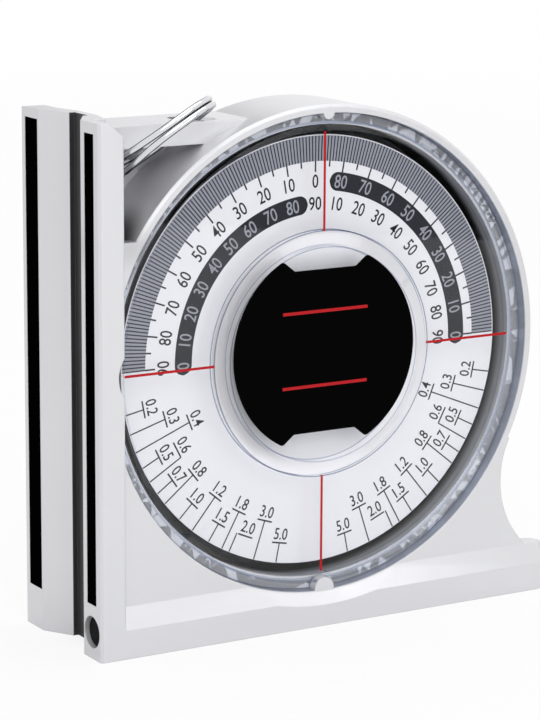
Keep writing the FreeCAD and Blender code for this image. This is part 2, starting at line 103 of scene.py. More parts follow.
def linear(hex_colour: str) -> tuple[float, float, float, float]:
    """Turns an sRGB hex colour into linear light.

    Args:
        hex_colour: The colour as "#rrggbb".

    Returns:
        Red, green, blue and an alpha of one.
    """
    channels = [int(hex_colour[i : i + 2], 16) / 255 for i in (1, 3, 5)]
    light = [c / 12.92 if c <= 0.04045 else ((c + 0.055) / 1.055) ** 2.4 for c in channels]
    return (light[0], light[1], light[2], 1.0)


def add_node(
    tree: Tree,
    kind: str,
    links: dict | None = None,
    values: dict | None = None,
    **settings: object,
) -> bpy.types.Node:
    """Adds one node with its settings, its constants and its links.

    Args:
        tree: The tree that gets the node.
        kind: The node's type name.
        links: Output sockets by the name or index of the input they feed.
        values: Constants by the name or index of their input.
        **settings: Properties of the node itself.

    Returns:
        The new node.
    """
    node = tree.nodes.new(kind)
    for key, value in settings.items():
        setattr(node, key, value)
    for key, value in (values or {}).items():
        node.inputs[key].default_value = value
    for key, socket in (links or {}).items():
        tree.links.new(socket, node.inputs[key])
    return node


def maths(tree: Tree, operation: str, first: object, second: object = 0.0) -> Socket:
    """Adds one sum, whose two terms are sockets or plain numbers.

    Args:
        tree: The tree that gets the node.
        operation: The sum's type name.
        first: The first term.
        second: The second term.

    Returns:
        The result.
    """
    links, values = {}, {}
    for index, term in enumerate((first, second)):
        if isinstance(term, Socket):
            links[index] = term
        else:
            values[index] = term
    return add_node(tree, "ShaderNodeMath", links, values, operation=operation).outputs["Value"]


def within(tree: Tree, value: Socket, low: float, high: float) -> Socket:
    """Gives one where a value lies between two limits and zero elsewhere.

    Args:
        tree: The tree that gets the node.
        value: The value.
        low: The lower limit.
        high: The upper limit.

    Returns:
        The mask.
    """
    node = add_node(
        tree,
        "ShaderNodeMath",
        {0: value},
        {1: (low + high) / 2, 2: (high - low) / 2},
        operation="COMPARE",
    )
    return node.outputs["Value"]


def map_range(
    tree: Tree,
    value: Socket,
    given: tuple[float, ...],
    wanted: Pair = (0.0, 1.0),
    **settings: object,
) -> Socket:
    """Maps a value from one range to another and holds it at the ends.

    Args:
        tree: The tree that gets the node.
        value: The value.
        given: The range that it has.
        wanted: The range that it gets.
        **settings: Properties of the node itself.

    Returns:
        The new value.
    """
    ends = {"From Min": given[0], "From Max": given[1], "To Min": wanted[0], "To Max": wanted[1]}
    node = add_node(tree, "ShaderNodeMapRange", {"Value": value}, ends, **settings)
    return node.outputs["Result"]


def metres(lengths: tuple[float, ...]) -> tuple[float, ...]:
    """Turns lengths in millimetres into metres."""
    return tuple(length * MM for length in lengths)


def drum_radius(tree: Tree, place: Socket) -> Socket:
    """Gives the distance from the drum's axis.

    Args:
        tree: The tree that gets the nodes.
        place: Object coordinates in metres.

    Returns:
        The distance in metres.
    """
    flat = add_node(
        tree,
        "ShaderNodeMapping",
        {"Vector": place},
        {"Location": (-DRUM_X * MM, 0, -DRUM_Z * MM), "Scale": (1, 0, 1)},
    ).outputs["Vector"]
    return add_node(
        tree, "ShaderNodeVectorMath", {0: flat}, {}, operation="LENGTH"
    ).outputs["Value"]


@dataclass(frozen=True)
class Finish:
    """One surface: what it is made of and how it was worked.

    Grain is the fine relief, mottle the slow change of tone over a face.
    """

    name: str
    colour: str
    roughness: float
    metallic: float = 0.0
    grain_mm: float = 0.25
    grain_height_mm: float = 0.01
    stretch: Triple = (1.0, 1.0, 1.0)
    mottle_mm: float = 9.0
    mottle_share: float = 0.05
    roughness_spread: float = 0.06
    edge_mm: float = 0.0
    specular: float = 0.5

    def build(self) -> bpy.types.Material:
        """Builds the material once and gives it back on every later call."""
        known = bpy.data.materials.get(self.name)
        if known is not None:
            return known
        material = bpy.data.materials.new(self.name)
        material.use_nodes = True
        tree = material.node_tree
        tree.nodes.clear()
        place = add_node(tree, "ShaderNodeTexCoord").outputs["Object"]
        shader = self.surface(tree, place)
        add_node(tree, "ShaderNodeOutputMaterial", {"Surface": shader})
        return material

    def dimmed(self, share: float) -> tuple[float, float, float, float]:
        """Gives the finish's own colour with a share of its light."""
        red, green, blue, alpha = linear(self.colour)
        return (red * share, green * share, blue * share, alpha)

    def surface(self, tree: Tree, place: Socket) -> Socket:
        """Joins tone, gloss and relief in one shader.

        Args:
            tree: The material's tree.
            place: Object coordinates in metres.

        Returns:
            The shader's output.
        """
        links = {"Normal": self.relief(tree, place)}
        links["Base Color"], links["Roughness"] = self.tone(tree, place)
        shader = add_node(
            tree,
            "ShaderNodeBsdfPrincipled",
            links,
            {"Metallic": self.metallic, "Specular IOR Level": self.specular},
        )
        return shader.outputs["BSDF"]

    def tone(self, tree: Tree, place: Socket) -> tuple[Socket, Socket]:
        """Makes the slow change of colour and gloss over a face.

        Args:
            tree: The material's tree.
            place: Object coordinates in metres.

        Returns:
            The colour and the roughness.
        """
        cloud = add_node(
            tree,
            "ShaderNodeTexNoise",
            {"Vector": place},
            {"Scale": 1 / (self.mottle_mm * MM), "Detail": 5.0, "Roughness": 0.6},
        ).outputs["Fac"]
        dull = self.dimmed(1 - 2 * self.mottle_share)
        colour = add_node(
            tree, "ShaderNodeMix", {0: cloud}, {6: dull, 7: linear(self.colour)}, data_type="RGBA"
        ).outputs[2]
        rough = (self.roughness + self.roughness_spread, self.roughness - self.roughness_spread)
        return colour, map_range(tree, cloud, CLOUD_RANGE, rough)

    def relief(self, tree: Tree, place: Socket) -> Socket:
        """Makes the fine grain, on edges that are slightly eased.

        Args:
            tree: The material's tree.
            place: Object coordinates in metres.

        Returns:
            The shading normal.
        """
        spread = add_node(
            tree, "ShaderNodeMapping", {"Vector": place}, {"Scale": self.stretch}
        ).outputs["Vector"]
        grain = add_node(
            tree,
            "ShaderNodeTexNoise",
            {"Vector": spread},
            {"Scale": 1 / (self.grain_mm * MM), "Detail": 2.0, "Roughness": 0.5},
        ).outputs["Fac"]
        links = {"Height": grain}
        if self.edge_mm:
            links["Normal"] = add_node(
                tree, "ShaderNodeBevel", {}, {"Radius": self.edge_mm * MM}, samples=6
            ).outputs["Normal"]
        return add_node(
            tree,
            "ShaderNodeBump",
            links,
            {"Strength": 1.0, "Distance": self.grain_height_mm * MM},
        ).outputs["Normal"]


@dataclass(frozen=True)
class ClearFinish(Finish):
    """Clear moulded acrylic: its cone bends the view, and elsewhere the view passes straight.

    The tints are painted bands of reflection and shade, standing for what the steps of its
    thickness show, each from its radius outward.
    """

    ior: float = 1.49
    cone_mm: Pair = (21.0, 23.5)
    # Painted reflection and shade: the colour of each band and the radius where it starts.
    painted_bands: tuple[tuple[float, str], ...] = (
        (20.55, "#c9cedb"),
        (20.75, "#fdfeff"),
        (23.5, "#a3abbd"),
        (23.75, "#fdfeff"),
        (42.65, "#e9edf4"),
        (42.9, "#ffffff"),
        (44.05, "#e2e6ee"),
        (44.3, "#ffffff"),
        (45.85, "#dde1e9"),
    )
    reach_mm: float = 60.0

    def surface(self, tree: Tree, place: Socket) -> Socket:
        """Joins a bending edge, a straight window and free passage for lamp light.

        Args:
            tree: The material's tree.
            place: Object coordinates in metres.

        Returns:
            The shader's output.
        """
        links = {"Normal": self.relief(tree, place)}
        links["Base Color"], links["Roughness"] = self.tone(tree, place)
        clear = add_node(
            tree,
            "ShaderNodeBsdfPrincipled",
            links,
            {"IOR": self.ior, "Transmission Weight": 1.0},
        ).outputs["BSDF"]
        radius = drum_radius(tree, place)
        # Painted reflection and shade: tints by the distance from the drum's axis, in the view and
        # in lamp light that passes.
        share = maths(tree, "DIVIDE", radius, self.reach_mm * MM)
        ramp = add_node(tree, "ShaderNodeValToRGB", {"Fac": share})
        ramp.color_ramp.interpolation = "CONSTANT"
        ramp.color_ramp.elements[0].color = linear(self.colour)
        ramp.color_ramp.elements.remove(ramp.color_ramp.elements[1])
        for start, tint in self.painted_bands:
            ramp.color_ramp.elements.new(start / self.reach_mm).color = linear(tint)
        passage = add_node(
            tree, "ShaderNodeBsdfTransparent", {"Color": ramp.outputs["Color"]}
        ).outputs["BSDF"]
        shine = add_node(
            tree, "ShaderNodeBsdfGlossy", {"Normal": links["Normal"]}, {"Roughness": self.roughness}
        ).outputs["BSDF"]
        fresnel = add_node(tree, "ShaderNodeFresnel", {}, {"IOR": self.ior}).outputs[0]
        behind = add_node(tree, "ShaderNodeNewGeometry").outputs["Backfacing"]
        mirror = maths(tree, "MULTIPLY", fresnel, maths(tree, "SUBTRACT", 1.0, behind))
        window = add_node(
            tree, "ShaderNodeMixShader", {0: mirror, 1: passage, 2: shine}
        ).outputs["Shader"]
        cone = within(tree, radius, *(limit * MM for limit in self.cone_mm))
        glass = add_node(
            tree, "ShaderNodeMixShader", {0: cone, 1: window, 2: clear}
        ).outputs["Shader"]
        shadow = add_node(tree, "ShaderNodeLightPath").outputs["Is Shadow Ray"]
        return add_node(
            tree, "ShaderNodeMixShader", {0: shadow, 1: glass, 2: passage}
        ).outputs["Shader"]


@dataclass(frozen=True)
class FloorFinish(Finish):
    """Pale paper sweep: white to the eye, while it keeps the object's soft shadow."""

    glow_near: float = 0.82
    fade_start_m: float = 0.25
    fade_end_m: float = 1.1

    def surface(self, tree: Tree, place: Socket) -> Socket:
        """Joins matt paper with a white that grows away from the object.

        Args:
            tree: The material's tree.
            place: Object coordinates in metres.

        Returns:
            The shader's output.
        """
        colour, _ = self.tone(tree, place)
        paper = add_node(tree, "ShaderNodeBsdfDiffuse", {"Color": colour}).outputs["BSDF"]
        white = add_node(tree, "ShaderNodeEmission", {}, {"Strength": 1.0}).outputs["Emission"]
        reach = add_node(
            tree, "ShaderNodeVectorMath", {0: place}, {}, operation="LENGTH"
        ).outputs["Value"]
        far = map_range(tree, reach, (self.fade_start_m, self.fade_end_m), (self.glow_near, 1.0))
        path = add_node(tree, "ShaderNodeLightPath").outputs
        seen = maths(tree, "MAXIMUM", path["Is Camera Ray"], path["Is Transmission Ray"])
        share = maths(tree, "MULTIPLY", far, seen)
        return add_node(
            tree, "ShaderNodeMixShader", {0: share, 1: paper, 2: white}
        ).outputs["Shader"]


@dataclass(frozen=True)
class CastFinish(Finish):
    """Die-cast alloy under satin lacquer, with a parting line round the drum, drawn lands and
    painted shade in its hollows.
    """

    seam_y_mm: float = -5.8
    seam_half_mm: float = 0.14
    seam_reach_mm: float = 47.2
    seam_strength: float = 0.5
    seam_depth_mm: float = 0.06
    land_x_mm: float = -49.6
    drag_mm: float = 0.12
    drag_length: float = 0.02
    drag_strength: float = 0.6
    drag_depth_mm: float = 0.01
    # Painted shade: where the chamber, the relief slot and the crevice are darkened in colour, and
    # how dark.
    chamber_y_mm: Pair = (-9.3, -1.9)
    shade_y_mm: Pair = (-9.2, -6.6)
    chamber_r_mm: float = 43.9
    slot_x_mm: Pair = (-46.55, -45.4)
    slot_y_mm: Pair = (-2.65, 2.75)
    hollow_painted_shade: float = 0.09
    crevice_mm: Triple = (-42.5, -7.0, 77.0)
    crevice_reach_mm: Pair = (2.5, 9.5)
    crevice_painted_shade: float = 0.12

    def tone(self, tree: Tree, place: Socket) -> tuple[Socket, Socket]:
        """Paints shade into the dial's chamber, the relief slot and the crevice of drum wall and
        rail.

        All three are darkened in colour to stand for the shadow that falls there, and the chamber
        grows darker with depth.

        Args:
            tree: The material's tree.
            place: Object coordinates in metres.

        Returns:
            The colour and the roughness.
        """
        colour, gloss = super().tone(tree, place)
        part = add_node(tree, "ShaderNodeSeparateXYZ", {"Vector": place}).outputs
        deep = within(tree, part["Y"], *metres(self.chamber_y_mm))
        inside = maths(tree, "LESS_THAN", drum_radius(tree, place), self.chamber_r_mm * MM)
        shade = map_range(tree, part["Y"], metres(self.shade_y_mm))
        chamber = maths(tree, "MULTIPLY", maths(tree, "MULTIPLY", deep, inside), shade)
        slot = maths(
            tree,
            "MULTIPLY",
            within(tree, part["X"], *metres(self.slot_x_mm)),
            within(tree, part["Y"], *metres(self.slot_y_mm)),
        )
        # Painted shade in the chamber and the relief slot.
        painted_dark = add_node(
            tree,
            "ShaderNodeMix",
            {0: maths(tree, "MAXIMUM", chamber, slot), 6: colour},
            {7: self.dimmed(self.hollow_painted_shade)},
            data_type="RGBA",
        ).outputs[2]
        # Painted shade round the crevice of drum wall and rail, darkest at its middle.
        away = add_node(
            tree,
            "ShaderNodeVectorMath",
            {0: place},
            {1: metres(self.crevice_mm)},
            operation="DISTANCE",
        ).outputs["Value"]
        painted_crevice_factor = map_range(
            tree,
            away,
            metres(self.crevice_reach_mm),
            (self.crevice_painted_shade, 1.0),
            interpolation_type="SMOOTHSTEP",
        )
        shaded = add_node(
            tree, "ShaderNodeVectorMath", {0: painted_dark, "Scale": painted_crevice_factor}, {}, operation="SCALE"
        ).outputs["Vector"]
        return shaded, gloss

    def relief(self, tree: Tree, place: Socket) -> Socket:
        """Adds the parting line and the lengthwise drag marks of the lands to the grain.

        Args:
            tree: The material's tree.
            place: Object coordinates in metres.

        Returns:
            The shading normal.
        """
        base = super().relief(tree, place)
        part = add_node(tree, "ShaderNodeSeparateXYZ", {"Vector": place}).outputs
        seam_y = self.seam_y_mm * MM
        half = self.seam_half_mm * MM
        off = within(tree, part["Y"], seam_y - half, seam_y + half)
        outside = maths(tree, "GREATER_THAN", drum_radius(tree, place), self.seam_reach_mm * MM)
        cut = add_node(
            tree,
            "ShaderNodeBump",
            {"Height": maths(tree, "MULTIPLY", off, outside), "Normal": base},
            {"Strength": self.seam_strength, "Distance": self.seam_depth_mm * MM},
            invert=True,
        ).outputs["Normal"]
        drawn = add_node(
            tree,
            "ShaderNodeMapping",
            {"Vector": place},
            {"Scale": (1.0, 1.0, self.drag_length)},
        ).outputs["Vector"]
        streak = add_node(
            tree,
            "ShaderNodeTexNoise",
            {"Vector": drawn},
            {"Scale": 1 / (self.drag_mm * MM), "Detail": 2.0},
        ).outputs["Fac"]
        on_land = maths(tree, "LESS_THAN", part["X"], self.land_x_mm * MM)
        return add_node(
            tree,
            "ShaderNodeBump",
            {"Height": maths(tree, "MULTIPLY", streak, on_land), "Normal": cut},
            {"Strength": self.drag_strength, "Distance": self.drag_depth_mm * MM},
        ).outputs["Normal"]


@dataclass(frozen=True)
class WireFinish(Finish):
    """Plated wire, bright along its crown, with black painted shade and reflection where the turns
    lie against each other.
    """

    # Painted shade and reflection: where on the wire's sides the black begins and ends, and its
    # share of the light.
    wire_shade_start: float = 0.66
    wire_shade_end: float = 0.86
    wire_shade_share: float = 0.015

    def tone(self, tree: Tree, place: Socket) -> tuple[Socket, Socket]:
        """Paints shade and reflection as black on the sides of the wire, by an attribute of its
        mesh.

        Args:
            tree: The material's tree.
            place: Object coordinates in metres.

        Returns:
            The colour and the roughness.
        """
        colour, gloss = super().tone(tree, place)
        side = add_node(tree, "ShaderNodeAttribute", attribute_name="wire_shade").outputs["Fac"]
        depth = map_range(tree, side, (self.wire_shade_start, self.wire_shade_end))
        painted_dark = add_node(
            tree,
            "ShaderNodeMix",
            {0: depth, 6: colour},
            {7: self.dimmed(self.wire_shade_share)},
            data_type="RGBA",
        ).outputs[2]
        return painted_dark, gloss


# Satin silver: pale and even, with a fine sand-like grain that only shows near highlights.
CASTING = CastFinish(
    "die_cast_alloy_satin_lacquer", "#dedee1", 0.42, 0.55, 0.3, 0.006, edge_mm=0.3,
    mottle_mm=14.0, mottle_share=0.02,
)
# Clear acrylic: nearly colourless, with polished moulded faces, and the cool bands at its edges are
# painted reflection and shade.
ACRYLIC = ClearFinish(
    "acrylic_clear_moulded", "#fdfeff", 0.02, 0.0, 3.0, 0.002,
    roughness_spread=0.01, mottle_share=0.0,
)
# Milky silicone ring: pale, bluish and dull.
GASKET = Finish("silicone_rubber_moulded", "#e0e2e8", 0.7, 0.0, 0.3, 0.01, mottle_share=0.06)
# Red paint wiped into the grooves of the lens.
RED_FILL = Finish(
    "enamel_red_wiped", "#b80d18", 0.35, 0.0, 0.4, 0.004, mottle_share=0.06, specular=0.2
)
# Black label film: deep black with a soft sheen, a hint of orange peel.
LABEL = Finish(
    "polyester_film_black_printed", "#010101", 0.4, 0.0, 0.5, 0.003,
    mottle_share=0.1, specular=0.02,
)
# White printed film of the dial: cool white, slightly lavender.
DIAL_FILM = Finish(
    "polyester_film_white_printed", "#f4f1f3", 0.45, 0.0, 0.35, 0.002, mottle_share=0.01
)
# Grey screen ink of the degree band, a little uneven.
BAND_INK = Finish(
    "screen_ink_grey", "#a2a3ad", 0.5, 0.0, 0.2, 0.002, mottle_mm=1.2, mottle_share=0.1
)
# Dark screen ink of the lines, the numerals and the strips behind the pale ones.
DARK_INK = Finish(
    "screen_ink_dark", "#303137", 0.5, 0.0, 0.2, 0.002,
    mottle_mm=1.0, mottle_share=0.12, specular=0.15,
)
# Pale screen ink of the numerals on the dark strips.
PALE_INK = Finish(
    "screen_ink_pale", "#a4a5ad", 0.5, 0.0, 0.2, 0.002, mottle_mm=1.0, mottle_share=0.08
)
# Rolled sheet: fine parallel lines from the mill.
SHEET = Finish("aluminium_sheet_rolled", "#c9cacd", 0.34, 1.0, 0.15, 0.004, (1.0, 1.0, 0.03))
# Turned brass: warm, with fine rings from the lathe.
BRASS = Finish("brass_turned", "#d9b25c", 0.28, 1.0, 0.15, 0.004, (1.0, 0.1, 1.0), edge_mm=0.1)
# Plain steel: grey, slightly dull.
STEEL = Finish(
    "steel_bright_drawn", "#b4b5b8", 0.3, 1.0, 0.15, 0.003, (1.0, 1.0, 0.05), edge_mm=0.05
)
# Bonded ferrite strip: near black, matt and without sheen, with a fine grain.
FERRITE_STRIP = Finish(
    "ferrite_bonded_extruded", "#030303", 0.75, 0.0, 0.2, 0.01,
    mottle_mm=3.0, mottle_share=0.2, specular=0.0,
)
# Sintered plug: dark charcoal with a granular face.
FERRITE_PLUG = Finish(
    "ferrite_sintered_ground", "#070708", 0.5, 0.0, 0.25, 0.012,
    mottle_mm=2.0, mottle_share=0.2, specular=0.05,
)
# Chromed spring wire: mirror bright on its crown, and the black on the sides where the turns meet
# is painted shade and reflection.
CHROME = WireFinish(
    "spring_steel_chrome_plated", "#e2e3e6", 0.07, 1.0, 0.3, 0.001, roughness_spread=0.02
)
# Black cloth of the cards that give polished metal something dark to show.
FLAG_CLOTH = Finish("flag_cloth_black", "#010101", 0.95, 0.0, 0.5, 0.01, specular=0.0)
# White paper sweep.
PAPER = FloorFinish("paper_sweep_white", "#f4f4f4", 0.9, mottle_mm=60.0, mottle_share=0.004)


def start_tree(name: str, numbers: tuple[str, ...]) -> Tree:
    """Starts a Geometry Nodes tree that takes geometry, some numbers and a finish.

    Args:
        name: The tree's name.
        numbers: The names of its number inputs.

    Returns:
        The tree, without nodes.
    """
    tree = bpy.data.node_groups.new(name, "GeometryNodeTree")
    face = tree.interface
    face.new_socket("Geometry", in_out="INPUT", socket_type="NodeSocketGeometry")
    for label in numbers:
        face.new_socket(label, in_out="INPUT", socket_type="NodeSocketFloat")
    face.new_socket("Finish", in_out="INPUT", socket_type="NodeSocketMaterial")
    face.new_socket("Geometry", in_out="OUTPUT", socket_type="NodeSocketGeometry")
    return tree


def end_tree(tree: Tree, shape: Socket, finish: Socket) -> None:
    """Makes a tree's shape real, gives it its finish and hands it out.

    Args:
        tree: The tree.
        shape: The geometry.
        finish: The material.
    """
    real = add_node(tree, "GeometryNodeRealizeInstances", {"Geometry": shape}).outputs[0]
    dressed = add_node(
        tree, "GeometryNodeSetMaterial", {"Geometry": real, "Material": finish}
    ).outputs[0]
    add_node(tree, "NodeGroupOutput", {0: dressed})


def smoothing_tree() -> Tree:
    """Builds the tree that joins loose triangles and shades curved walls as smooth.

    Returns:
        The node group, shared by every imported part.
    """
    name = "smooth_shading"
    known = bpy.data.node_groups.get(name)
    if known is not None:
        return known
    tree = start_tree(name, ("Crease Angle",))
    given = add_node(tree, "NodeGroupInput").outputs
    joined = add_node(
        tree,
        "GeometryNodeMergeByDistance",
        {"Geometry": given["Geometry"]},
        {"Distance": JOIN_GAP},
    ).outputs["Geometry"]
    angle = add_node(tree, "GeometryNodeInputMeshEdgeAngle").outputs["Unsigned Angle"]
    sharp = add_node(
        tree,
        "FunctionNodeCompare",
        {0: angle, 1: given["Crease Angle"]},
        {},
        data_type="FLOAT",
        operation="GREATER_THAN",
    ).outputs["Result"]
    smooth = add_node(
        tree,
        "GeometryNodeSetShadeSmooth",
        {0: joined},
        {"Shade Smooth": True},
        domain="FACE",
    ).outputs[0]
    creased = add_node(
        tree,
        "GeometryNodeSetShadeSmooth",
        {0: smooth, "Selection": sharp},
        {"Shade Smooth": False},
        domain="EDGE",
    ).outputs[0]
    end_tree(tree, creased, given["Finish"])
    return tree


def marks_tree() -> Tree:
    """Builds the tree that lays one thin bar on each point of a dial scale.

    Each point carries its angle, its two radii and its width as attributes.

    Returns:
        The node group.
    """
    tree = start_tree("scale_marks", ("Thickness", "Middle Depth", "Centre X", "Centre Z"))
    given = add_node(tree, "NodeGroupInput").outputs
    angle, inner, outer, width = (
        add_node(
            tree, "GeometryNodeInputNamedAttribute", {}, {"Name": label}, data_type="FLOAT"
        ).outputs["Attribute"]
        for label in ("angle", "inner", "outer", "width")
    )
    length = maths(tree, "SUBTRACT", outer, inner)
    middle = maths(tree, "MULTIPLY", maths(tree, "ADD", outer, inner), 0.5)
    x, z = (
        maths(tree, "ADD", given[f"Centre {axis}"], maths(tree, "MULTIPLY", share, middle))
        for axis, share in (("X", maths(tree, "SINE", angle)), ("Z", maths(tree, "COSINE", angle)))
    )
    spot = add_node(
        tree, "ShaderNodeCombineXYZ", {"X": x, "Y": given["Middle Depth"], "Z": z}
    ).outputs["Vector"]
    placed = add_node(
        tree, "GeometryNodeSetPosition", {"Geometry": given["Geometry"], "Position": spot}
    ).outputs["Geometry"]
    bar = add_node(
        tree, "GeometryNodeMeshCube", {}, {"Size": (1.0, 1.0, 1.0)}
    ).outputs["Mesh"]
    turn = add_node(tree, "ShaderNodeCombineXYZ", {"Y": angle}).outputs["Vector"]
    size = add_node(
        tree, "ShaderNodeCombineXYZ", {"X": width, "Y": given["Thickness"], "Z": length}
    ).outputs["Vector"]
    bars = add_node(
        tree,
        "GeometryNodeInstanceOnPoints",
        {"Points": placed, "Instance": bar, "Rotation": turn, "Scale": size},
    ).outputs["Instances"]
    end_tree(tree, bars, given["Finish"])
    return tree


def add_modifier(piece: bpy.types.Object, tree: Tree, values: dict[str, object]) -> None:
    """Runs a Geometry Nodes tree on an object.

    Args:
        piece: The object.
        tree: The tree, whose name the modifier gets.
        values: What each input gets, by its name in the tree.
    """
    modifier = piece.modifiers.new(tree.name, "NODES")
    modifier.node_group = tree
    inputs = (item for item in tree.interface.items_tree if item.in_out == "INPUT")
    keys = {item.name: item.identifier for item in inputs}
    for label, value in values.items():
        modifier[keys[label]] = value


def dress(node: str, finish: Finish, crease_deg: float = CREASE_DEG) -> None:
    """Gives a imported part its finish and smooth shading.

    Args:
        node: The part's name.
        finish: What it is made of.
        crease_deg: The angle between faces above which an edge stays sharp.
    """
    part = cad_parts[node]
    material = finish.build()
    part.data.materials.clear()
    part.data.materials.append(material)
    values = {"Finish": material, "Crease Angle": math.radians(crease_deg)}
    add_modifier(part, smoothing_tree(), values)
    log.info("%s: %s", node, finish.name)


def add_object(name: str, data: bpy.types.ID) -> bpy.types.Object:
    """Adds an object to the scene.

    Args:
        name: Its name.
        data: Its mesh, curve, light or camera.

    Returns:
        The new object.
    """
    made = bpy.data.objects.new(name, data)
    bpy.context.scene.collection.objects.link(made)
    return made


def add_piece(
    name: str, mesh: bpy.types.Mesh, finish: Finish, body: Body
) -> bpy.types.Object:
    """Adds a finished mesh to the object.

    Args:
        name: The piece's name.
        mesh: Its mesh, in place.
        finish: What it is made of.
        body: The body that it moves with.

    Returns:
        The new object.
    """
    mesh.name = name
    mesh.materials.clear()
    mesh.materials.append(finish.build())
    piece = add_object(name, mesh)
    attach(piece, body.value)
    log.info("%s: %d faces, %s", name, len(mesh.polygons), finish.name)
    return piece


def plain_mesh(source: bpy.types.Object) -> bpy.types.Mesh:
    """Turns a text or a piece with modifiers into a plain mesh and removes the source.

    Args:
        source: The object, already in the scene.

    Returns:
        The evaluated mesh.
    """
    graph = bpy.context.evaluated_depsgraph_get()
    graph.update()
    mesh = bpy.data.meshes.new_from_object(source.evaluated_get(graph))
    bpy.data.objects.remove(source)
    return mesh


def skin(graph: bmesh.types.BMesh, rows: list[list[bmesh.types.BMVert]]) -> None:
    """Closes a tube over rings of corners, with a cap at each end.

    Args:
        graph: The mesh under way.
        rows: The rings in order, each with the same number of corners.
    """
    count = len(rows[0])
    for first, second in zip(rows, rows[1:]):
        for i in range(count):
            j = (i + 1) % count
            graph.faces.new((first[i], first[j], second[j], second[i]))
    graph.faces.new(rows[0][::-1])
    graph.faces.new(rows[-1])


def closed_mesh(graph: bmesh.types.BMesh, name: str) -> bpy.types.Mesh:
    """Turns a mesh under way into a mesh whose faces all look outward.

    Args:
        graph: The mesh under way, which is freed.
        name: The mesh's name.

    Returns:
        The mesh.
    """
    bmesh.ops.recalc_face_normals(graph, faces=graph.faces[:])
    mesh = bpy.data.meshes.new(name)
    graph.to_mesh(mesh)
    graph.free()
    return mesh


def on_dial(angle_deg: float, radius: float, depth: float) -> Vector:
    """Gives a point on the dial.

    Args:
        angle_deg: Clockwise from the top, seen from the front.
        radius: Distance from the drum's axis in millimetres.
        depth: Height along Y in millimetres.

    Returns:
        The point in metres.
    """
    turn = math.radians(angle_deg)
    return Vector(
        (
            (DRUM_X + radius * math.sin(turn)) * MM,
            depth * MM,
            (DRUM_Z + radius * math.cos(turn)) * MM,
        )
    )


@dataclass(frozen=True)
class Slope:
    """One mark of the lower scale: its value and the ring that its bar lies on."""

    value: float
    bar_radius: float
    lead_deg: float = 0.0


